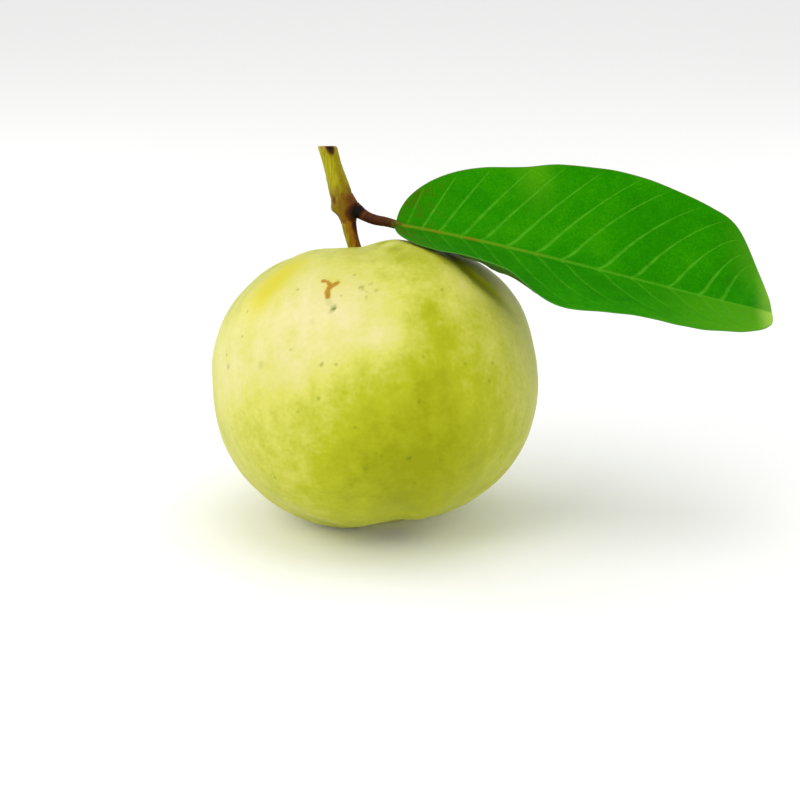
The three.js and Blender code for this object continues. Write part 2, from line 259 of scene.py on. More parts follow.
fruit = {
    "centre": (0.3, -6.7, 41.875),
    "leanAway": 20,
    "leanLeft": 8,
    "radius": 46.9,
    "stemHalf": 40.2,
    "blossomHalf": 41.4,
    "stemFullness": 2.45,  # 2 is an ellipse, and more is squarer
    "blossomFullness": 2.15,
    "blend": 0.35,  # how far past the middle the two ends' shapes blend
    "dimple": (4, 8, 2),  # depth, width and steepness
    "basin": (4.5, 8.5, 4),
    "ribs": [(2, 0.35, 170), (3, 0.35, 215), (5, 0.6, 236), (8, 0.3, 262)],  # count, height, crest
    "ribsRise": (4, 22),  # between these distances from the axis
    # angle from the stem end, longitude, depth, spread
    "dents": [(47, 8, 1.6, 17), (36, -40, 0.8, 12), (32, 188, -1, 16), (36, 207, 0.9, 10), (17, 5, -0.5, 12)],
    "swell": (0.25, (7.3, 8.1, 7.7), (1.1, 0.4, 2)),  # height, and length and start of its waves each way
    "around": 360,
    "down": 220,
    "waves": [(9, 0.16), (4.5, 0.06)],  # width and height of the skin's soft waves
    "pit": (2.9, 0.9, 1.1),  # the crease round the stalk: radius, depth, width
    "puckers": (22, 0.22, 8.2, 2.6),  # round the calyx: count, height, radius, width
    "corkRim": (0.4, 0.7, 0.8),  # round the stalk: how far inside the crease, width, thickness
    "corkProud": 0.12,
    "creaseDepth": 0.14,
    "spotDepth": 0.08,
    # Marks on the skin, by angle from the stem end and longitude.
    "scars": [  # corky scars, as lines from point to point, with half their width and how thick the cork is
        [(53, 256.7), (53.8, 258.5), (55.9, 260.4), 0.85, 0.95],
        [(54.9, 262.7), (56.1, 260.7), (57.9, 259), (60.4, 259.3), 0.9, 0.95],
        [(58.6, 272.7), (61, 275.7), 0.25, 0.6],
    ],
    "crease": [(60.4, 259.3), (62.6, 259.6), (65.1, 261.5)],
    # the valley is sunk into the skin and also painted greener, as painted shade under the leaf
    "valley": {  # between two ribs on the right shoulder
        "line": [(36, 334), (44.7, 322.8), (49.6, 320.9), (54.9, 321.5), (60.1, 323.6), (64.8, 326.9),
                 (69.5, 331.1), (73.2, 335), (84, 345)],
        "depth": 0.4,
        "half": 2.2,
        # painted shade: how much greener the valley is painted, for the crease's shade and the leaf's shadow
        "green": 0.65,
        "runsOut": (62, 80),  # between these angles, down the flank
    },
    "spots": [  # and half their width in millimetres, and how dark
        (79, 213.5, 0.6, 0.8), (65.2, 261.6, 0.7, 1.3), (121.3, 282.7, 0.5, 1.3), (84, 255.8, 0.5, 0.7),
        (122.8, 264.6, 0.7, 0.7), (66.9, 260.6, 0.6, 0.4), (100.4, 287.1, 0.5, 0.6), (81, 232.4, 1.2, 0.25),
        (69.5, 253.5, 0.6, 0.25), (44, 280.4, 1.1, 0.2), (57.9, 272.6, 0.8, 0.6),
        (56.8, 276.6, 0.5, 0.35), (60.2, 278.2, 0.6, 0.45), (62.6, 274, 0.5, 0.45),
    ],
    "skinTone": 0.46,
    # Where the skin is riper or greener, with painted light and shade: the cream upper left is a painted
    # highlight and the greener lower right is painted shade. Angle, longitude, spread in degrees, amount.
    "ripe": [
        (66, 246, 22, 0.4), (70, 268, 14, 0.27), (80, 212, 18, 0.34), (46, 262, 22, 0.1),
        (130, 282, 32, -0.44), (108, 300, 20, -0.1), (82, 299, 4.5, -0.1), (94, 291, 8, -0.16),
        (72, 298, 4, -0.06), (111, 237, 9, 0.1), (60, 340, 8, 0.1), (40, 300, 14, -0.1),
        (64, 312, 9, 0.2), (61, 283, 9, 0.1), (86, 247, 12, 0.14), (100, 100, 60, -0.12),
        (55, 298, 10, -0.1), (78, 278, 6, 0.26), (71, 296.5, 3, -0.16), (79, 295.8, 3.5, -0.14),
        (37.9, 295.3, 2.5, -0.3), (31.4, 297, 3, 0.2), (25.4, 296, 2, -0.35), (45.6, 295.3, 3, -0.15),
    ],
    "golden": [(57, 228, 7, 0.8), (48, 231, 7.5, 0.9), (40, 235, 5, 0.6), (55.5, 260, 4.5, 0.4)],
}

skin = {
    "green": "#8e9400",
    "leafy": "#aab01e",
    "yellowGreen": "#cccb60",
    # painted highlight: cream is the colour of the broad soft highlight on the waxy skin
    "creamHighlight": "#ddd49c",
    "gold": "#cec42c",
    "cork": "#c6922a",
    "corkDark": "#8e6008",
    "speck": "#667a00",
    "mottle": 0.36,  # how much it changes the ripeness
    "mottleWidth": 5,
    "flecks": 0.22,
    "flecksWidth": 1.3,
    "grainWidth": 0.5,
    "poreSpacing": 1.5,
    "lenticelSpacing": 6.5,
}


def leanTurn():  # turns the fruit's own frame to the way that it rests
    a, b = math.radians(-fruit["leanLeft"]), math.radians(-fruit["leanAway"])
    left = np.array([[math.cos(a), 0, math.sin(a)], [0, 1, 0], [-math.sin(a), 0, math.cos(a)]])
    away = np.array([[1, 0, 0], [0, math.cos(b), -math.sin(b)], [0, math.sin(b), math.cos(b)]])
    return left @ away


def towards(angle, longitude):  # unit direction in the fruit's own frame, from degrees
    angle, longitude = np.broadcast_arrays(np.radians(angle), np.radians(longitude))
    out = np.sin(angle)
    return np.stack([out * np.cos(longitude), out * np.sin(longitude), np.cos(angle)], -1)


def angleTo(directions, angle, longitude):
    return np.degrees(np.arccos(np.clip(directions @ towards(angle, longitude), -1, 1)))


def ontoSkin(directions):  # the skin's points in the fruit's own frame
    height = directions[..., 2]
    out = np.hypot(directions[..., 0], directions[..., 1])
    turn = np.arctan2(directions[..., 1], directions[..., 0])
    stemSide = smoothstep(height, -fruit["blend"], fruit["blend"])
    half = fruit["blossomHalf"] + (fruit["stemHalf"] - fruit["blossomHalf"]) * stemSide
    fullness = fruit["blossomFullness"] + (fruit["stemFullness"] - fruit["blossomFullness"]) * stemSide
    radius = ((out / fruit["radius"]) ** fullness + (np.abs(height) / half) ** fullness) ** (-1 / fullness)
    fromAxis = radius * out
    ribShare = 0.35 + 0.65 * smoothstep(np.abs(height), 0.15, 0.8)  # lower round the middle
    ribShare = smoothstep(fromAxis, *fruit["ribsRise"]) * ribShare
    for count, ribHeight, crest in fruit["ribs"]:
        radius = radius + ribShare * ribHeight * np.cos(count * (turn - math.radians(crest)))
    for (depth, width, steepness), here in ((fruit["dimple"], height > 0), (fruit["basin"], height <= 0)):
        radius = radius - here * depth * np.exp(-(fromAxis / width) ** steepness)
    for angle, longitude, depth, spread in fruit["dents"]:
        radius = radius - depth * bell(angleTo(directions, angle, longitude), spread)
    swell, lengths, starts = fruit["swell"]
    waves = np.sin(radius[..., None] * directions / lengths + starts)
    return directions * (radius + swell * np.prod(waves, -1))[..., None]


def fromLine(points, places):  # distance in millimetres to a line over the skin
    line = [ontoSkin(towards(*place)) for place in places]
    nearest = np.full(points.shape[:-1], 99.0)
    for start, end in zip(line, line[1:]):
        span = end - start
        share = np.clip((points - start) @ span / (span @ span), 0, 1)
        nearest = np.minimum(nearest, np.linalg.norm(points - start - share[..., None] * span, axis=-1))
    return nearest


def patches(directions, places):  # the sum of soft round patches
    return sum(amount * bell(angleTo(directions, a, b), spread) for a, b, spread, amount in places)


def makeFruit():
    share = np.linspace(0, 1, fruit["down"] + 1)[1:-1]
    fromStem = 180 * crowd(share, 0.45)[:, None]
    turn = np.linspace(0, 2 * np.pi, fruit["around"], endpoint=False)
    directions = towards(fromStem, np.degrees(turn)[None, :])
    points = ontoSkin(directions)
    fromAxis = np.hypot(points[..., 0], points[..., 1])
    stemSide = directions[..., 2] > 0
    lift = sum(height * lumps(points, width, i + 1) for i, (width, height) in enumerate(fruit["waves"]))
    lift = lift * smoothstep(fromAxis, 3, 9)
    pitRadius, pitDepth, pitWidth = fruit["pit"]
    lift = lift - stemSide * pitDepth * bell(fromAxis - pitRadius, pitWidth)
    count, height, radius, width = fruit["puckers"]
    wander = 2.5 * lumps(points, 5, 7)
    lift = lift + ~stemSide * height * np.cos(count * turn + wander) * bell(fromAxis - radius, width)

    inside, width, thick = fruit["corkRim"]
    uneven = 0.75 + 0.5 * lumps(points, 1.2, 4)
    cork = stemSide * thick * bell(fromAxis - pitRadius + inside, width) * uneven
    for *line, half, thick in fruit["scars"]:
        ragged = half * (1 + 0.6 * lumps(points, 1.3, 3))
        cork = np.maximum(cork, thick * (1 - smoothstep(fromLine(points, line), ragged * 0.2, ragged + 0.6)))
    lift = lift + fruit["corkProud"] * cork * (0.6 + lumps(points, 0.9, 5))
    crease = bell(fromLine(points, fruit["crease"]), 0.7)
    lift = lift - fruit["creaseDepth"] * crease
    # painted shade: the crease is painted a little darker along its line, besides the real dark spots
    spot = 0.22 * crease
    valley = fruit["valley"]
    inValley = bell(fromLine(points, valley["line"]), valley["half"])
    inValley = inValley * (1 - smoothstep(fromStem, *valley["runsOut"]))
    lift = lift - valley["depth"] * inValley
    for angle, longitude, half, dark in fruit["spots"]:
        distance = np.linalg.norm(points - ontoSkin(towards(angle, longitude)), axis=-1)
        spot = np.maximum(spot, dark * (1 - smoothstep(distance, half * 0.2, half + 0.35)))
    lift = lift - fruit["spotDepth"] * spot
    points = points + directions * lift[..., None]

    # painted light and shade over real ripeness: cream where the broad highlight falls, greener where shade
    # falls
    ripe = fruit["skinTone"] + patches(directions, fruit["ripe"])
    stretched = np.stack([directions[..., 0] * 40, directions[..., 1] * 40, directions[..., 2] * 12], -1)
    ripe = ripe + 0.08 * lumps(stretched, 3.4, 2) * smoothstep(fromAxis, 8, 25) + 0.05 * lumps(points, 12, 6)
    # painted shade: the valley is painted greener for the crease's shade and the leaf's shadow
    ripe = ripe - valley["green"] * inValley
    golden = patches(directions, fruit["golden"])

    rings = points @ leanTurn().T
    rings[..., 2] = np.maximum(rings[..., 2], -fruit["centre"][2])  # the flat spot
    form = closedForm(rings, {"ripe": ripe, "golden": golden, "cork": cork, "spot": spot})
    return makePiece("guavaFruit", [form], waxySkin(), "fruit")


# Fruit skin, grown: a thin waxy cuticle over pale flesh. It gives a soft broad sheen and a glow from
# the flesh just beneath, with darker pores, and cork where it once cracked.
def waxySkin():
    material, tree, shader = startMaterial("waxy guava skin", {
        "IOR": 1.45, "Specular IOR Level": 0.3, "Specular Tint": linear("#fff890"),
        "Subsurface Weight": 0.22, "Subsurface Radius": (1.0, 0.85, 0.3), "Subsurface Scale": 3 * mm,
        "Sheen Weight": 0.02, "Sheen Roughness": 0.4, "Sheen Tint": linear("#fbfbd0"),
    })
    place, field = readMesh(tree, ["ripe", "golden", "cork", "spot"])
    mottle = addNode(tree, "TexNoise", {
        "Vector": place, "Scale": perMetre(skin["mottleWidth"]), "Detail": 3.0, "Roughness": 0.6})
    flecks = addNode(tree, "TexNoise", {
        "Vector": place, "Scale": perMetre(skin["flecksWidth"]), "Detail": 2.0})
    grain = addNode(tree, "TexNoise", {
        "Vector": place, "Scale": perMetre(skin["grainWidth"]), "Detail": 3.0})
    skinTone = field["ripe"]
    for pattern, amount in ((mottle, skin["mottle"]), (flecks, skin["flecks"])):
        skinTone = addNode(tree, "Math", {
            "operation": "MULTIPLY_ADD", 0: pattern, 1: amount, 2: skinTone})
    skinTone = addNode(tree, "Math", {
        "operation": "SUBTRACT", 0: skinTone, 1: (skin["mottle"] + skin["flecks"]) / 2})
    # the ramp runs from green in the painted shade to cream in the painted highlight
    colour = addNode(tree, "ValToRGB", {"Fac": skinTone, "stops": [
        (0.0, skin["green"]), (0.32, skin["leafy"]), (0.62, skin["yellowGreen"]), (1.0, skin["creamHighlight"])]})

    cells = addNode(tree, "TexVoronoi", {
        "Vector": place, "Scale": perMetre(skin["lenticelSpacing"]), "Randomness": 1.0})
    lenticel = addNode(tree, "MapRange", {
        "interpolation_type": "SMOOTHSTEP", "Value": cells, 1: 0.03, 2: 0.12, 3: 0.4, 4: 0.0})
    dark = addNode(tree, "Math", {"operation": "MAXIMUM", 0: lenticel, 1: field["spot"]})
    roughCork = addNode(tree, "Math", {"operation": "MULTIPLY_ADD", 0: grain, 1: 0.7, 2: field["cork"]})
    corked = addNode(tree, "MapRange", {
        "interpolation_type": "SMOOTHSTEP", "Value": roughCork, 1: 0.66, 2: 1.15, 3: 0.0, 4: 0.95})
    corkColour = addNode(tree, "Mix", {
        "data_type": "RGBA", "Factor": grain, "A": skin["corkDark"], "B": skin["cork"]})
    for amount, over in ((field["golden"], skin["gold"]), (dark, skin["speck"]), (corked, corkColour)):
        colour = addNode(tree, "Mix", {"data_type": "RGBA", "Factor": amount, "A": colour, "B": over})

    sheen = addNode(tree, "MapRange", {"Value": mottle, 1: 0.3, 2: 0.7, 3: 0.4, 4: 0.52})
    rough = addNode(tree, "Mix", {"data_type": "FLOAT", "Factor": corked, "A": sheen, "B": 0.8})
    pores = addNode(tree, "TexVoronoi", {
        "Vector": place, "Scale": perMetre(skin["poreSpacing"]), "feature": "SMOOTH_F1", "Smoothness": 0.5})
    relief = addNode(tree, "Math", {"operation": "MULTIPLY_ADD", 0: corked, 1: 0.8, 2: pores})
    bump = addNode(tree, "Bump", {"Strength": 0.35, "Distance": 0.12 * mm, "Height": relief})
    setNode(tree, shader, {"Base Color": colour, "Roughness": rough, "Normal": bump})
    return material


# The calyx at the blossom end

calyx = {
    "sepals": 5,
    "floorDrop": 37,
    "sink": 0.7,  # how far its foot stands in the skin of the basin
    "cup": [(0, 0), (3.4, 0), (4.6, 0.6), (5, 1.4), (4.7, 1.6), (3.9, 1.1), (3, 0.8), (1.2, 0.7),
            (0.6, 1.4), (0, 1.5)],  # radius and height
    "sepal": {"root": 4.5, "foot": 1, "length": 3.4, "halfWidth": 2.5, "thickness": 0.5},
    "stamens": 46,
    "stamen": {"near": 2.4, "far": 3.7, "length": (1, 2.2), "radius": 0.13},
    "style": {"radius": 0.35, "length": 2.2},
}


def lathe(profile, around):  # rings turned from radius and height pairs, a little uneven
    turn = np.linspace(0, 2 * np.pi, around, endpoint=False)
    radius, height = np.array(profile, float).T
    radius = np.maximum(radius, 0.02)
    steps = np.linspace(0, len(profile) - 1, 6 * len(profile))
    radius = np.interp(steps, np.arange(len(profile)), radius)[:, None]
    height = np.interp(steps, np.arange(len(profile)), height)[:, None]
    rings = np.stack([radius * np.cos(turn), radius * np.sin(turn), height + 0 * turn], -1)
    return rings + 0.12 * lumps(rings, 1.4, 8)[..., None] * np.array([1, 1, 0.6])


def makeCalyx(draw):
    forms = []

    def add(rings, age):  # from the calyx's own frame, whose height points out of the basin
        height = calyx["sink"] - calyx["floorDrop"] - rings[..., 2]
        turned = np.stack([rings[..., 0], rings[..., 1], height], -1)
        forms.append(closedForm(turned @ leanTurn().T, {"age": age}))

    add(lathe(calyx["cup"], 60), 0.4)
    sepal = calyx["sepal"]
    share = np.linspace(0, 1, 22)[:, None]
    turn = np.linspace(0, 2 * np.pi, 20, endpoint=False)[None, :]
    for i in range(calyx["sepals"]):
        facing = 2 * np.pi * (i + 0.12 * draw.uniform(-1, 1)) / calyx["sepals"]
        curl = draw.uniform(0.5, 1.5)
        length = sepal["length"] * draw.uniform(0.82, 1.08)
        across = sepal["halfWidth"] * (1 - share ** 2.2) ** 0.6 * np.cos(turn)
        thick = sepal["thickness"] / 2 * (1 - 0.6 * share) * np.sin(turn)
        climb = math.radians(62) - curl * share * 0.9
        out = sepal["root"] + length * share * np.cos(climb) * 0.8 + thick * np.sin(climb)
        height = sepal["foot"] + length * share * np.sin(climb) + thick * np.cos(climb)
        uneven = 0.15 * lumps(np.stack([out, across, height], -1), 1.1, i + 20)
        height = height - 0.12 * across ** 2 * share + uneven
        out = out - 0.5 * across ** 2 / sepal["root"]
        rings = np.stack([out * math.cos(facing) - across * math.sin(facing),
                          out * math.sin(facing) + across * math.cos(facing), height], -1)
        add(rings, 0.2 + 0.7 * share)
    stamen = calyx["stamen"]
    for i in range(calyx["stamens"] + 1):
        isStyle = i == calyx["stamens"]
        facing = draw.uniform(0, 2 * np.pi)
        out = 0 if isStyle else draw.uniform(stamen["near"], stamen["far"])
        tall = calyx["style"]["length"] if isStyle else draw.uniform(*stamen["length"])
        radius = calyx["style"]["radius"] if isStyle else stamen["radius"]
        lean = draw.uniform(-0.9, 0.9, 2)
        share = np.linspace(0, 1, 7)[:, None]
        turn = np.linspace(0, 2 * np.pi, 7, endpoint=False)[None, :]
        wide = radius * (1 - 0.45 * share)
        rings = np.stack([out * math.cos(facing) + wide * np.cos(turn) + lean[0] * tall * share ** 2 * 0.5,
                          out * math.sin(facing) + wide * np.sin(turn) + lean[1] * tall * share ** 2 * 0.5,
                          0.6 + tall * share + 0 * turn], -1)
        add(rings, 0.6 + 0.4 * share)
    return makePiece("driedCalyx", forms, driedSepal(), "calyx")


# Dried sepals, grown and withered: papery and brown, paler along the edges, quite matte.
def driedSepal():
    material, tree, shader = startMaterial("dried sepal", {
        "IOR": 1.4, "Roughness": 0.85, "Specular IOR Level": 0.25})
    place, field = readMesh(tree, ["age"])
    fibres = addNode(tree, "TexNoise", {"Vector": place, "Scale": perMetre(0.5), "Detail": 4.0})
    tone = addNode(tree, "Math", {"operation": "MULTIPLY_ADD", 0: fibres, 1: 0.9, 2: field["age"]})
    colour = addNode(tree, "ValToRGB", {"Fac": tone, "stops": [
        (0.3, "#6f7a2c"), (0.6, "#7b5a2a"), (0.85, "#54361a"), (1.0, "#3a2412")]})
    bump = addNode(tree, "Bump", {"Strength": 0.6, "Distance": 0.15 * mm, "Height": fibres})
    setNode(tree, shader, {"Base Color": colour, "Normal": bump})
    return material


# The stalk, the twig and the leaf's petiole. Wrinkles are height, width and seed, and a bark is its
# colours round the bar, its colours along the bar and how much the second count.

stalk = {
    "path": [(-4.38, 11.45, 31.2), (-4.75, 12.4, 33.8), (-6.2, 13.05, 38), (-7.3, 13.5, 42.4),
             (-7.55, 13.6, 43.9)],
    "top": (-7.72, 13.7, 45.6),  # carries it on into the twig
    "radius": 1.85,
    "footFlare": 0.35,
    "topFlare": 0.35,
    "wrinkles": [(0.07, 0.7, 11), (0.04, 0.3, 12)],
    "steps": 70,
    "around": 40,
    "bark": {
        "stops": [(0.05, "#4a2406"), (0.35, "#965e08"), (0.58, "#a0780e"), (0.74, "#a4a41c")],
        "ends": [(0.0, "#b0b440"), (0.3, "#a8a030"), (0.42, "#966a0c"), (1.0, "#80520a")],
        "endShare": 0.3,
    },
}
twig = {
    "path": [(-7.65, 13.65, 44.35), (-8.1, 13.9, 47.5), (-9.6, 14.5, 51.8), (-11.1, 15.3, 57),
             (-13.8, 17, 66.2)],
    "knifeTilt": 11,  # the cut end faces a little away
    "radii": [(0, 2.12), (0.09, 2.7), (0.2, 3.05), (0.34, 3.1), (0.46, 2.9), (0.62, 2.55), (1, 2.5)],
    "squareness": 0.07,
    "wrinkles": [(0.1, 0.8, 13), (0.05, 0.32, 14)],
    "nodeWrinkles": [(0.1, 0.6, 15)],  # short ones, round the node
    "scar": {"at": 0.225, "turn": 180, "height": 1.3, "length": 1.5, "spread": 34},
    "scarHollow": 0.45,
    "shoulder": {"at": 0.16, "turn": 0, "height": 0.9, "length": 2.3, "spread": 48},  # carries the petiole
    "creases": [(-4.4, 0.12, 0.35), (3.2, 0.12, 0.4)],  # round it: distance from the scar, depth, width
    "lenticels": {"count": 16, "between": (0.42, 0.97), "height": 0.14, "halfTurn": 0.12, "halfLength": 0.6},
    "bevel": (0.3, 0.006),  # of the cut end's rim: depth, share of the length
    # Dark stains, and painted shade: share of the length, turn, half their length and width in millimetres,
    # and how dark. The two at turn 14, near the foot under the petiole, are painted shade in the axil.
    "stainsAndShade": [
        (0.99, 66, 2.4, 1.3, 1), (0.12, 14, 2.5, 3.3, 1.2), (0.27, 40, 2.8, 2.4, 0.38),
        (0.19, 40, 3, 2.2, 0.4), (0.02, 14, 3, 2, 0.75), (0.56, 52, 6, 1.8, 0.24),
        (0.8, 40, 3.5, 1.3, 0.2), (0.34, 140, 1.6, 1, 0.4), (0.13, 165, 1.5, 1.3, 0.42),
        (0.04, 172, 0.9, 0.8, 0.62), (0.33, 75, 1.4, 1.4, 0.25),
    ],
    "stainRadius": 2.6,  # of the bark under them, about
    "footStain": (0.26, 0.02, 0.22),  # how dark, and the shares between which it fades
    "steps": 170,
    "around": 72,
    "bark": {
        "stops": [(0.1, "#7a6a00"), (0.4, "#978604"), (0.65, "#aaa008"), (0.9, "#b8bc20")],
        "ends": [(0.0, "#8c5206"), (0.12, "#603604"), (0.33, "#6a4004"), (0.43, "#867206"),
                 (0.56, "#a09a08"), (0.95, "#9c9408"), (1.0, "#a88448")],
        "endShare": 0.72,
    },
}
bud = {
    "path": [(-6.2, 13.4, 48.2), (-5.2, 13.1, 49.4), (-4.7, 12.9, 50.5)],
    "radius": 0.95,
    "scales": (0.07, 3, 4),  # their ridges: height, count, twist
    "steps": 24,
    "around": 24,
    "bark": {
        "stops": [(0.3, "#2c1404"), (0.8, "#5a2e04")],
        "ends": [(0.0, "#1c0c02"), (1.0, "#4a2604")],
        "endShare": 0.5,
    },
}
cut = {
    "inset": 0.42,  # the bark's edge
    "profile": [(1, -0.5), (1, -0.06), (0.97, 0), (0.9, 0.03), (0.8, 0.03), (0.65, 0.02), (0.5, 0.02),
                (0.38, 0), (0.3, -0.12), (0.22, -0.3), (0.12, -0.36), (0.04, -0.38)],  # from rim to pith
    "around": 64,
}
petiole = {
    "path": [(-3.85, 13.3, 47.1), (-2, 12.5, 46.25), (0.43, 11.4, 45.66), (3.14, 10.2, 45.45),
             (5.2, 9.35, 45.08)],
    "radii": [(0, 1.9), (0.25, 1.6), (0.6, 1.45), (1, 1.2)],
    "root": [(-8, 14, 49.2), (-5.7, 13.8, 48.3)],  # carries it on into the twig's node
    "end": [(7.4, 8.9, 44.5)],  # and under the foot of the midrib
    "swelling": 0.3,  # more at the root, and less at the end
    "channel": 0.35,
    "channelSpread": 0.5,
    "wrinkles": [(0.06, 0.7, 17), (0.04, 0.28, 18)],
    "steps": 110,
    "around": 40,
    "bark": {
        "stops": [(0.2, "#2c1404"), (0.5, "#401c02"), (0.8, "#5a2e04")],
        "ends": [(0.0, "#2a1002"), (0.6, "#421c02"), (0.84, "#4a2a04"), (0.95, "#647410")],
        "endShare": 0.6,
    },
}
bark = {
    "streakWidth": 0.7,
    "streakStretch": 0.16,
    "blotchWidth": 2.2,
    "stainsAndShade": [(0.3, "#743c02"), (0.65, "#3c1a04"), (0.95, "#0a0402")],
}


# Rings round a path. Turn 0 is on the right, going round by the near side. Where levelAt is 1 the
# rings lie level, apart from their tilt.
def barRings(path, shares, around, radiusAt, levelAt=None, tilt=0):
    spots, ways, length = followPath(path, shares)
    side = np.cross(ways, (0, -1, 0))
    side /= np.linalg.norm(side, axis=-1, keepdims=True)
    front = np.cross(side, ways)
    turn = np.linspace(0, 2 * np.pi, around, endpoint=False)
    reach = radiusAt(shares[:, None], turn[None, :], length)[..., None]
    rings = spots[:, None] + side[:, None] * reach * np.cos(turn)[None, :, None]
    rings = rings + front[:, None] * reach * np.sin(turn)[None, :, None]
    if levelAt is not None:
        aim = spots[:, None, 2] - math.tan(tilt) * (rings[..., 1] - spots[:, None, 1])
        rise = ways[:, None, 2] + math.tan(tilt) * ways[:, None, 1]
        rings = rings + ways[:, None] * (levelAt(shares)[:, None] * (aim - rings[..., 2]) / rise)[..., None]
    return rings, shares[:, None] + 0 * turn, np.cos(turn)[None, :] + 0 * shares[:, None]


def wrinkles(turn, run, kinds):  # lengthwise wrinkles: noise stretched along the bar
    radius, stretch = 2.4, 5
    where = np.stack([np.cos(turn) * radius + 0 * run, np.sin(turn) * radius + 0 * run,
                      run / stretch + 0 * turn], -1)
    return sum(height * lumps(where, width, seed) for height, width, seed in kinds)


def makeStalk():
    def radiusAt(share, turn, length):
        flare = stalk["footFlare"] * bell(share, 0.25) + stalk["topFlare"] * bell(share - 1, 0.3)
        return stalk["radius"] + flare + wrinkles(turn, share * length, stalk["wrinkles"])

    path = stalk["path"] + [stalk["top"]]
    rings, share, side = barRings(path, np.linspace(0, 1, stalk["steps"]), stalk["around"], radiusAt)
    # painted shade: darker down the stalk's right side, and at its top on the right by the axil
    rightEdge = 0.3 * smoothstep(side, 0.35, 0.95)
    rightTop = 0.5 * smoothstep(share, 0.6, 0.9) * smoothstep(side, 0, 0.7)
    form = closedForm(rings, {"share": share, "side": side, "stain": rightEdge + rightTop})
    return makePiece("fruitStalk", [form], woodyBark("stalk bark", stalk["bark"]), "stalk")


def makeTwig(draw):
    scar, lenticels = twig["scar"], twig["lenticels"]
    turns = draw.uniform(0, 2 * np.pi, lenticels["count"])
    places = draw.uniform(*lenticels["between"], lenticels["count"])

    def radiusAt(share, turn, length):
        ridges = 1 + twig["squareness"] * smoothstep(share, 0.15, 0.4) * np.cos(4 * turn)
        radius = along(twig["radii"], share) * ridges
        for knob in (scar, twig["shoulder"]):
            run = bell((share - knob["at"]) * length, knob["length"])
            aside = offTurn(turn, math.radians(knob["turn"]))
            radius = radius + knob["height"] * run * bell(aside, math.radians(knob["spread"]))
        fromScar = (share - scar["at"]) * length
        aside = offTurn(turn, math.radians(scar["turn"]))
        hollow = bell(fromScar + 0.2, 0.9) * bell(aside, math.radians(scar["spread"]) * 0.6)
        radius = radius - twig["scarHollow"] * hollow
        short = wrinkles(turn, share * length * 4, twig["nodeWrinkles"])
        radius = radius + wrinkles(turn, share * length, twig["wrinkles"])
        radius = radius + short * (1 - smoothstep(share, 0.25, 0.45))
        for distance, depth, width in twig["creases"]:
            radius = radius - depth * bell(fromScar - distance, width)
        for dotTurn, dotShare in zip(turns, places):
            aside = offTurn(turn, dotTurn) / lenticels["halfTurn"]
            run = (share - dotShare) * length / lenticels["halfLength"]
            radius = radius + lenticels["height"] * bell(np.hypot(aside, run), 1)
        depth, width = twig["bevel"]
        return radius - depth * bell(share - 1, width)

    shares = np.linspace(0, 1, twig["steps"])
    rings, share, side = barRings(twig["path"], shares, twig["around"], radiusAt,
                                  lambda share: smoothstep(share, 0.85, 1), math.radians(twig["knifeTilt"]))
    length = followPath(twig["path"], shares)[2]
    turn = np.linspace(0, 2 * np.pi, twig["around"], endpoint=False)[None, :]
    stain = np.zeros_like(share)
    for at, facing, half, wide, dark in twig["stainsAndShade"]:
        aside = offTurn(turn, math.radians(facing)) * twig["stainRadius"] / wide
        stain = np.maximum(stain, dark * bell(np.hypot(aside, (share - at) * length / half), 1))
    dark, start, end = twig["footStain"]
    stain = np.maximum(stain, dark * (1 - smoothstep(share, start, end)))
    form = closedForm(rings, {"share": share, "side": side, "stain": stain})
    return makePiece("cutTwig", [form], woodyBark("young twig bark", twig["bark"]), "twig")


def makeBud():  # the small dark bud above the petiole
    def radiusAt(share, turn, length):
        height, count, twist = bud["scales"]
        dome = np.sqrt(np.clip(1 - share ** 2, 0.003, 1))
        return bud["radius"] * dome * (1 + height * np.cos(count * turn + twist * share))

    rings, share, side = barRings(bud["path"], np.linspace(0, 1, bud["steps"]), bud["around"], radiusAt)
    form = closedForm(rings, {"share": share, "side": side, "stain": 0.75 - 0.3 * share})
    return makePiece("axilBud", [form], woodyBark("bud scale", bud["bark"]), "twig")


def makeCut():  # the cut end of the twig, inside the bark's edge
    radius = twig["radii"][-1][1] - cut["inset"]
    turn = np.linspace(0, 2 * np.pi, cut["around"], endpoint=False)
    out, height = np.array(cut["profile"], float).T[..., None]
    rings = np.stack([radius * out * np.cos(turn), radius * out * np.sin(turn), height + 0 * turn], -1)
    rings[..., 2] += 0.05 * lumps(rings, 0.5, 16) - 0.01
    slope = math.tan(math.radians(twig["knifeTilt"]))
    rings[..., 2] = np.minimum(rings[..., 2], 0.06) - slope * rings[..., 1]
    top = followPath(twig["path"], [1.0])[0][0]
    return makePiece("cutWoodEnd", [closedForm(rings + top, {"out": out})], cutWood(), "twig")


# Green wood, cut with a knife: pale, dry and matte, with a dark pith and a thin green rim of bark.
def cutWood():
    material, tree, shader = startMaterial("cut wood", {
        "IOR": 1.5, "Roughness": 0.75, "Specular IOR Level": 0.3})
    place, field = readMesh(tree, ["out"])
    fibres = addNode(tree, "TexNoise", {"Vector": place, "Scale": perMetre(0.3), "Detail": 3.0})
    ring = addNode(tree, "Math", {"operation": "MULTIPLY_ADD", 0: fibres, 1: 0.24, 2: field["out"]})
    colour = addNode(tree, "ValToRGB", {"Fac": ring, "stops": [
        (0.36, "#120a05"), (0.5, "#5b3a18"), (0.62, "#c7a06a"), (0.95, "#d4b98c"), (1.0, "#6f7420")]})
    setNode(tree, shader, {"Base Color": colour})
    return material


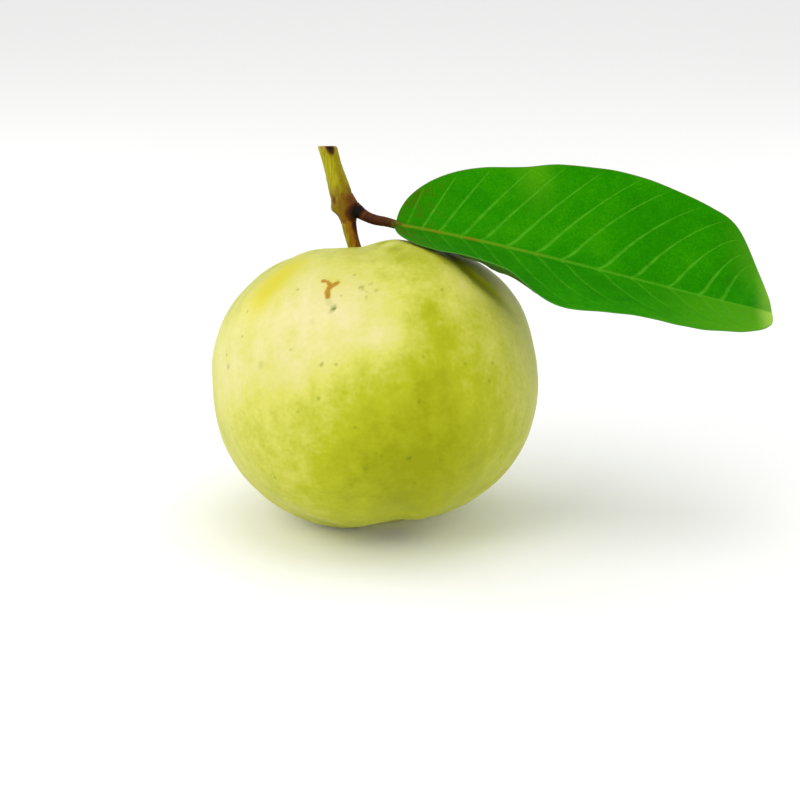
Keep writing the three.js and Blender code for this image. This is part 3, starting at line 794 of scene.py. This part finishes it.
def makePetiole():
    def radiusAt(share, turn, length):
        swollen = petiole["swelling"] * (1 - smoothstep(share, 0.1, 0.45) - smoothstep(share, 0.9, 1))
        top = bell(offTurn(turn, -0.5 * np.pi), petiole["channelSpread"])
        channel = petiole["channel"] * top * smoothstep(share, 0.2, 0.5)
        uneven = wrinkles(turn, share * length, petiole["wrinkles"])
        return along(petiole["radii"], share) + swollen - channel + uneven

    path = petiole["root"] + petiole["path"] + petiole["end"]
    rings, share, side = barRings(path, np.linspace(0, 1, petiole["steps"]), petiole["around"], radiusAt)
    # painted shade: the petiole's root is painted near black, for the shade in the axil
    form = closedForm(rings, {"share": share, "side": side, "stain": 1 - smoothstep(share, 0.2, 0.42)})
    material = woodyBark("petiole bark", petiole["bark"])
    return makePiece("leafPetiole", [form], material, "petiole")


# Young bark, grown: thin, smooth and finely wrinkled lengthwise, with a faint waxy sheen. Its colour is
# painted lighter and greener on the lit left side and darker and browner on the shaded right.
def woodyBark(name, colours):
    material, tree, shader = startMaterial(name, {"IOR": 1.45, "Specular IOR Level": 0.15})
    place, field = readMesh(tree, ["share", "side", "stain"])
    stretched = addNode(tree, "Mapping", {"Vector": place, "Scale": (1.0, 1.0, bark["streakStretch"])})
    streaks = addNode(tree, "TexNoise", {
        "Vector": stretched, "Scale": perMetre(bark["streakWidth"]), "Detail": 4.0})
    blotch = addNode(tree, "TexNoise", {
        "Vector": place, "Scale": perMetre(bark["blotchWidth"]), "Detail": 2.0})
    # painted light and shade: lighter and greener on the left, darker and browner on the right
    lit = addNode(tree, "Math", {"operation": "MULTIPLY", 0: field["side"], 1: -0.42})
    tone = addNode(tree, "Math", {"operation": "MULTIPLY_ADD", 0: streaks, 1: 0.9, 2: lit})
    colour = addNode(tree, "ValToRGB", {"Fac": tone, "stops": colours["stops"]})
    wander = addNode(tree, "Math", {"operation": "MULTIPLY_ADD", 0: blotch, 1: 0.2, 2: field["share"]})
    wander = addNode(tree, "Math", {"operation": "SUBTRACT", 0: wander, 1: 0.1})
    lengthwise = addNode(tree, "ValToRGB", {"Fac": wander, "stops": colours["ends"]})
    colour = addNode(tree, "Mix", {
        "data_type": "RGBA", "Factor": colours["endShare"], "A": colour, "B": lengthwise})
    shade = addNode(tree, "MapRange", {"Value": streaks, 1: 0.3, 2: 0.7, 3: 0.72, 4: 1.15})
    colour = addNode(tree, "Mix", {
        "data_type": "RGBA", "blend_type": "MULTIPLY", "Factor": 1.0, "A": colour, "B": shade})
    # the dark colour covers real stains and the painted shade in the axil
    stain = addNode(tree, "Math", {"operation": "MULTIPLY_ADD", 0: streaks, 1: 0.24, 2: field["stain"]})
    darkBark = addNode(tree, "ValToRGB", {"Fac": stain, "stops": bark["stainsAndShade"]})
    stainedAndShaded = addNode(tree, "MapRange", {
        "interpolation_type": "SMOOTHSTEP", "Value": stain, 1: 0.2, 2: 0.55, 3: 0.0, 4: 0.97})
    colour = addNode(tree, "Mix", {"data_type": "RGBA", "Factor": stainedAndShaded, "A": colour, "B": darkBark})
    rough = addNode(tree, "MapRange", {"Value": blotch, 1: 0.3, 2: 0.7, 3: 0.5, 4: 0.68})
    bump = addNode(tree, "Bump", {"Strength": 0.5, "Distance": 0.1 * mm, "Height": streaks})
    setNode(tree, shader, {"Base Color": colour, "Roughness": rough, "Normal": bump})
    return material


# The leaf

leaf = {
    "midrib": [(5.86, 9, 44.9), (42, 6.7, 39.3), (78.1, 4.3, 28.2), (114.2, 2, 20.6)],
    "halfWidth": 33.5,
    "footBluntness": 0.42,
    "tipBluntness": 0.34,
    "endHalfWidth": 0.9,
    "thickness": 0.5,
    "edgeThickness": 0.22,
    "acrossVeins": 95.2,  # the midrib's length, measured square to the side veins, about
    "veins": [0.03, 0.073, 0.12, 0.181, 0.237, 0.306, 0.383, 0.455, 0.553, 0.64, 0.735, 0.815, 0.87,
              0.92, 0.96],  # as shares of the midrib
    "veinSweep": 0.95,
    "veinBend": 0.4,
    "veinHook": 0.05,  # how far a side vein runs along the midrib before it turns out
    "veinHalfWidth": (0.48, 0.17),  # at the midrib and near the edge
    "veinSunk": 0.16,
    "veinProud": 0.32,
    "quilt": 0.22,  # how much the blade bulges up between two veins
    "rib": 1.1,
    "ribDepth": 0.9,
    "farSlope": [(0, 36.5), (0.1, 39), (0.25, 39.7), (0.4, 43.8), (0.55, 49.5), (0.7, 48.4),
                 (0.85, 42.2), (1, 10.3)],  # share of the length, degrees
    "farCurl": 20,
    "nearSlope": [(0, -0.5), (0.1, -0.1), (0.25, -7.7), (0.4, -9.7), (0.55, -6.9), (0.7, -3.2),
                  (0.85, -1.5), (1, -1.4)],
    "nearCurl": 12,
    "farWave": [(0, 0), (0.2, 0.2), (0.3, -0.4), (0.38, 0.3), (0.48, -0.2), (0.7, -0.4), (0.8, 0.1),
                (0.9, 2), (1, 0)],  # share of the length, lift of the margin
    "nearWave": [(0, 0), (0.11, 0.6), (0.2, 3.2), (0.3, 1), (0.43, 0.4), (0.59, 1.4), (0.78, -0.5), (1, 0)],
    "upturn": (5.2, 0.305, 0.085, 4),  # of the near margin: height, place, spread and steepness
    # How yellow: a streak a third of the way along, the margin near the tip, and the outer part.
    "yellowing": {"far": (0.28, 0.42, 0), "near": (0, 0.2, 0.3)},
    "stepsPerVein": 16,
    "stepsAcross": 42,
}


def halfWidthAt(share):
    foot, tip = leaf["footBluntness"], leaf["tipBluntness"]
    widest = foot / (foot + tip)
    inside = np.clip(share, 0, 1)
    width = leaf["halfWidth"] * (inside / widest) ** foot * ((1 - inside) / (1 - widest)) ** tip
    return np.maximum(leaf["endHalfWidth"], width)


def bezier(points, share):  # point and direction on a cubic curve
    a, b, c, d = np.array(points, float)
    t = share[..., None]
    point = a * (1 - t) ** 3 + 3 * b * t * (1 - t) ** 2 + 3 * c * t * t * (1 - t) + d * t ** 3
    way = (b - a) * (1 - t) ** 2 + 2 * (c - b) * t * (1 - t) + (d - c) * t * t
    return point, way / np.linalg.norm(way, axis=-1, keepdims=True)


# Half of the blade, from the midrib out: its middle surface, the way up from it, and where each
# point is.
def halfBlade(start, ribShare, rowShare, far):
    sign = 1 if far else -1
    hook = leaf["veinHook"] * np.exp(-rowShare / 0.04)
    sweep = rowShare + leaf["veinBend"] * (rowShare ** 2 - rowShare) - hook
    sweep = sweep * (1 - 0.35 * smoothstep(start, 0.7, 1))  # the last veins run straighter
    share = start + leaf["veinSweep"] * start * (1 - start) * sweep
    point, way = bezier(leaf["midrib"], share)
    side = np.stack([-way[..., 1], way[..., 0], 0 * share], -1)
    side /= np.linalg.norm(side, axis=-1, keepdims=True)
    up = np.cross(way, side)
    width = halfWidthAt(share)
    rib = np.minimum(leaf["rib"] * (1 - 0.6 * share), width / 2)
    fromMidrib = rib * ribShare + (width - rib) * rowShare
    out = fromMidrib / width
    curls = {True: math.radians(leaf["farCurl"]), False: math.radians(leaf["nearCurl"])}
    firsts = {True: np.radians(along(leaf["farSlope"], share)) - curls[True] / 2,
              False: np.radians(along(leaf["nearSlope"], share)) - curls[False] / 2}
    slope = firsts[far] + curls[far] * out
    chord = (firsts[far] + slope) / 2
    wave = along(leaf["farWave" if far else "nearWave"], share)
    height, at, spread, steepness = leaf["upturn"]
    upturn = 0 if far else height * bell(share - at, spread)
    lift = fromMidrib * np.sin(chord) + wave * out ** 2 + upturn * out ** steepness
    point = point + side * (sign * fromMidrib * np.cos(chord))[..., None] + up * lift[..., None]
    waveSlope = np.arctan((2 * wave * out + steepness * upturn * out ** (steepness - 1)) / width)
    middle = (firsts[True] - firsts[False]) / 2
    tilt = middle + (sign * (slope + waveSlope) - middle) * smoothstep(ribShare, 0, 1)
    normal = up * np.cos(tilt)[..., None] - side * np.sin(tilt)[..., None]
    return point, normal, share, out, fromMidrib, width, rib


def yellowing(share, out, far):
    streak, margin, outer = leaf["yellowing"]["far" if far else "near"]
    amount = streak * bell(share - 0.33 + 0.06 * (out - 0.9), 0.045) * smoothstep(out, 0.3, 0.95)
    amount = amount + margin * smoothstep(share, 0.8, 1) * smoothstep(out, 0.2, 1)
    return amount + outer * smoothstep(share, 0.6, 1)


def leafGrid():  # where the blade's columns and rows lie, as shares
    starts = np.array([0, *leaf["veins"], 1])
    steps = leaf["stepsPerVein"]
    t = crowd(np.arange(steps) / steps, 0.6)  # columns draw together at the veins
    start = np.concatenate([(a + (b - a) * t) for a, b in zip(starts, starts[1:])] + [[1.0]])[:, None]
    phase = np.concatenate([i + t for i in range(len(starts) - 1)] + [[len(starts) - 1.0]])[:, None]
    rows = leaf["stepsAcross"]
    ribShare = np.array([0, 0.25, 0.5, 0.75] + [1] * (rows + 1), float)[None, :] + 0 * start
    rowShare = np.array([0] * 4 + list(np.linspace(0, 1, rows + 1)), float)[None, :] + 0 * start
    return start, phase, ribShare, rowShare


def veinFields(start, rowShare):  # distance from the nearest side vein, its half width and its strength
    fromVein = np.abs(start - np.array(leaf["veins"])).min(1, keepdims=True) * leaf["acrossVeins"]
    wide, slim = leaf["veinHalfWidth"]
    veinWidth = wide + (slim - wide) * smoothstep(rowShare, 0, 0.9)
    veinWidth = veinWidth * (0.75 + 0.25 * smoothstep(start, 0.05, 0.2))
    veinFade = (1 - smoothstep(rowShare, 0.84, 1)) * smoothstep(start, 0, 0.06)
    veinFade = veinFade * (1 - smoothstep(start, 0.84, 0.94))
    return fromVein, veinWidth, veinFade


def makeLeaf():
    start, phase, ribShare, rowShare = leafGrid()
    fromVein, veinWidth, veinFade = veinFields(start, rowShare)
    sheets = {}
    for far in (True, False):
        point, normal, share, out, fromMidrib, width, rib = halfBlade(start, ribShare, rowShare, far)
        inside = smoothstep(out, 0.02, 0.12) * (1 - smoothstep(out, 0.82, 1))
        veinLine = bell(fromVein / veinWidth, 1.1) * veinFade * ribShare
        quilt = leaf["quilt"] * (0.5 - 0.5 * np.cos(2 * np.pi * phase)) * inside
        fine = 0.1 * lumps(point, 3.1, 31) * inside
        edge = smoothstep(out, 0.86, 1)
        body = (leaf["thickness"] + (leaf["edgeThickness"] - leaf["thickness"]) * edge) / 2
        across = np.where(rib > 0, fromMidrib / rib, 0)
        groove = 0.2 * bell(across - 1.1, 0.45) * (1 - 0.6 * share)
        crest = 0.12 * bell(across, 0.6)
        top = body + quilt - 0.1 + fine - leaf["veinSunk"] * veinLine - groove + crest
        ribRound = np.sqrt(np.clip(1 - (across / 1.05) ** 2, 0, 1))
        under = body - quilt + 0.1 - fine + leaf["veinProud"] * veinLine * (1 - 0.5 * rowShare)
        under = under + leaf["ribDepth"] * (1 - 0.7 * share) * ribRound
        waver = 0.25 * lumps(point, 7, 33) * edge
        sheets[far] = {
            "top": point + normal * (top + waver)[..., None],
            "under": point - normal * (under - waver)[..., None],
            "edge": (point + normal * waver[..., None])[:, -1:],
            "share": share,
            "toEdge": width - fromMidrib,
            "fromRib": fromMidrib / (1 - 0.5 * share),
            "vein": fromVein / veinWidth,
            "fade": veinFade * (1 if far else 0.55),
            "patch": yellowing(share, out, far),
        }

    def ring(top, under, edge):  # from the near edge over the top to the far edge, and back beneath
        near, far = sheets[False], sheets[True]
        return np.concatenate([near[top][:, ::-1], far[top][:, 1:], edge(far), far[under][:, :0:-1],
                               near[under], edge(near)], axis=1)

    rings = ring("top", "under", lambda half: half["edge"])
    fields = {name: ring(name, name, lambda half, name=name: half[name][:, -1:])
              for name in ("share", "toEdge", "fromRib", "vein", "fade", "patch")}
    tops = 2 * ribShare.shape[1] - 1
    count = rings.shape[1]
    fields["upper"] = np.broadcast_to((np.arange(count) <= tops).astype(float), rings.shape[:2])
    nearSide = np.ones(count)
    nearSide[ribShare.shape[1]:count - ribShare.shape[1] - 1] = 0
    fields["nearSide"] = np.broadcast_to(nearSide, rings.shape[:2])
    return makePiece("leafBlade", [closedForm(rings, fields)], leafBlade(), "leaf")


blade = {
    "deep": "#1c6800",
    "green": "#1f8200",
    "light": "#409a02",
    "yellowish": "#6cab18",
    "footTint": "#46560a",
    # painted light: the pale tip colour stands for light shining through the thin blade
    "pale": "#9cc648",
    "vein": "#4ca21c",
    "midrib": "#648a12",
    "midribBrown": "#846a18",
    "edge": "#6e7a34",
    "nearEdgeHighlight": "#4f9034",
    # painted shade: the underside is darker than a guava leaf's own, for the shade under the curled near
    # margin
    "under": "#3c6220",
    "underVein": "#86a45c",
    "netSpacing": 1.3,
    "mottleWidth": 3.5,
    "grainWidth": 0.6,
    "broadWidth": 16,
    "brownWidth": 4,
    "fades": {  # the field that each follows, from where to where, and the amounts there
        # the towards-tip and tip-end fades paint light shining through the tip, the towards-foot fade paints
        # shade
        "towardsTip": ("share", 0.62, 1, 0, 0.4),
        "towardsFoot": ("share", 0.1, 0.55, 0.4, 0),
        "footEnd": ("share", 0, 0.17, 1, 0),
        "tipEndLitThrough": ("share", 0.945, 1, 0, 0.95),
        "early": ("share", 0.05, 0.6, 1, 0.15),
        "veinLine": ("vein", 0.2, 1.7, 0.85, 0),
        "ribLine": ("fromRib", 0.45, 1.15, 0.9, 0),
        "edgeLine": ("toEdge", 0.05, 0.35, 0.75, 0),
    },
}


def midribLook(tree, place, early):  # brownish in parts near the foot, where it also shows most
    brownish = addNode(tree, "TexNoise", {
        "Vector": place, "Scale": perMetre(blade["brownWidth"]), "Detail": 3.0})
    brownPart = addNode(tree, "MapRange", {
        "interpolation_type": "SMOOTHSTEP", "Value": brownish, 1: 0.5, 2: 0.62, 3: 0.0, 4: 0.8})
    brownPart = addNode(tree, "Math", {"operation": "MULTIPLY", 0: brownPart, 1: early})
    colour = blade["vein"]
    for amount, over in ((early, blade["midrib"]), (brownPart, blade["midribBrown"])):
        colour = addNode(tree, "Mix", {"data_type": "RGBA", "Factor": amount, "A": colour, "B": over})
    return colour, addNode(tree, "MapRange", {"Value": early, 1: 0.15, 2: 0.8, 3: 0.6, 4: 1.0})


# Guava leaf, grown: leathery and green with lighter sunken veins, a fine net between them and a thin
# pale edge, painted paler on the near half as a highlight along its curled crest. The underside is
# paler and duller in life, with the veins standing out; here its colour is painted darker as shade.
def leafBlade():
    material, tree, shader = startMaterial("leathery guava leaf", {
        "IOR": 1.4, "Specular IOR Level": 0.04, "Specular Tint": linear("#c8ff60"),
        "Subsurface Weight": 0.08, "Subsurface Radius": (0.4, 1.0, 0.1), "Subsurface Scale": 0.6 * mm,
    })
    place, field = readMesh(
        tree, ["share", "toEdge", "fromRib", "vein", "fade", "patch", "upper", "nearSide"])
    fade = {name: addNode(tree, "MapRange", {"interpolation_type": "SMOOTHSTEP", "Value": field[source],
                                             1: start, 2: end, 3: before, 4: after})
            for name, (source, start, end, before, after) in blade["fades"].items()}
    nearSide = field["nearSide"]
    mottle = addNode(tree, "TexNoise", {
        "Vector": place, "Scale": perMetre(blade["mottleWidth"]), "Detail": 4.0, "Roughness": 0.65})
    grain = addNode(tree, "TexNoise", {
        "Vector": place, "Scale": perMetre(blade["grainWidth"]), "Detail": 2.0})
    broad = addNode(tree, "TexNoise", {
        "Vector": place, "Scale": perMetre(blade["broadWidth"]), "Detail": 1.0})
    tone = -0.05
    for pattern, amount in ((grain, 0.5), (mottle, 0.35), (broad, 0.5)):
        tone = addNode(tree, "Math", {"operation": "MULTIPLY_ADD", 0: pattern, 1: amount, 2: tone})
    colour = addNode(tree, "ValToRGB", {"Fac": tone, "stops": [
        (0.25, blade["deep"]), (0.6, blade["green"]), (1.0, blade["light"])]})

    # painted light: the near half is painted paler towards the tip, for light shining through it, and darker
    # towards the foot, as painted shade
    paler = addNode(tree, "Math", {"operation": "MULTIPLY", 0: fade["towardsTip"], 1: nearSide})
    nearFootShade = addNode(tree, "Math", {"operation": "MULTIPLY", 0: fade["towardsFoot"], 1: nearSide})
    spotted = addNode(tree, "MapRange", {"Value": mottle, 1: 0.42, 2: 0.62, 3: 0.0, 4: 0.7})
    footEnd = addNode(tree, "Math", {"operation": "MULTIPLY", 0: fade["footEnd"], 1: spotted})
    # painted light: the very tip is painted pale, for light shining through it, most on the near half
    tipShare = addNode(tree, "Math", {"operation": "MULTIPLY_ADD", 0: nearSide, 1: 0.6, 2: 0.4})
    tipEndLitThrough = addNode(tree, "Math", {"operation": "MULTIPLY", 0: fade["tipEndLitThrough"], 1: tipShare})
    fainter = addNode(tree, "Math", {"operation": "SUBTRACT", 0: 1.0, 1: nearFootShade})
    broken = addNode(tree, "MapRange", {"Value": mottle, 1: 0.35, 2: 0.6, 3: 0.5, 4: 1.05})
    veined = fade["veinLine"]
    for factor in (fainter, field["fade"], broken):
        veined = addNode(tree, "Math", {"operation": "MULTIPLY", 0: veined, 1: factor})

    rib, ribStrength = midribLook(tree, place, fade["early"])
    ribShown = addNode(tree, "Math", {"operation": "MULTIPLY", 0: fade["ribLine"], 1: ribStrength})

    for amount, over in ((paler, blade["light"]), (nearFootShade, blade["deep"]), (footEnd, blade["footTint"]),
                         (field["patch"], blade["yellowish"]), (tipEndLitThrough, blade["pale"]),
                         (veined, blade["vein"]), (ribShown, rib)):
        colour = addNode(tree, "Mix", {"data_type": "RGBA", "Factor": amount, "A": colour, "B": over})
    # painted shade: the underside's colour is darkened for the shade it lies in
    underside = blade["under"]
    for amount in (veined, fade["ribLine"]):
        underside = addNode(tree, "Mix", {
            "data_type": "RGBA", "Factor": amount, "A": underside, "B": blade["underVein"]})
    # painted highlight: the near half's edge is painted pale green, for light along its curled crest
    edge = addNode(tree, "Mix", {
        "data_type": "RGBA", "Factor": nearSide, "A": blade["edge"], "B": blade["nearEdgeHighlight"]})
    colour = addNode(tree, "Mix", {
        "data_type": "RGBA", "Factor": field["upper"], "A": underside, "B": colour})
    colour = addNode(tree, "Mix", {
        "data_type": "RGBA", "Factor": fade["edgeLine"], "A": colour, "B": edge})

    rough = addNode(tree, "MapRange", {"Value": field["upper"], 1: 0.0, 2: 1.0, 3: 0.85, 4: 0.7})
    net = addNode(tree, "TexVoronoi", {
        "Vector": place, "Scale": perMetre(blade["netSpacing"]), "feature": "DISTANCE_TO_EDGE"})
    ridge = addNode(tree, "MapRange", {
        "interpolation_type": "SMOOTHSTEP", "Value": net, 1: 0.0, 2: 0.16, 3: 0.0, 4: 1.0})
    bump = addNode(tree, "Bump", {"Strength": 0.4, "Distance": 0.06 * mm, "Height": ridge})
    setNode(tree, shader, {"Base Color": colour, "Roughness": rough, "Normal": bump})
    return material


makeStudio()
draw = np.random.default_rng(5)
makeFruit()
makeCalyx(draw)
makeStalk()
makeTwig(draw)
makeBud()
makeCut()
makePetiole()
makeLeaf()
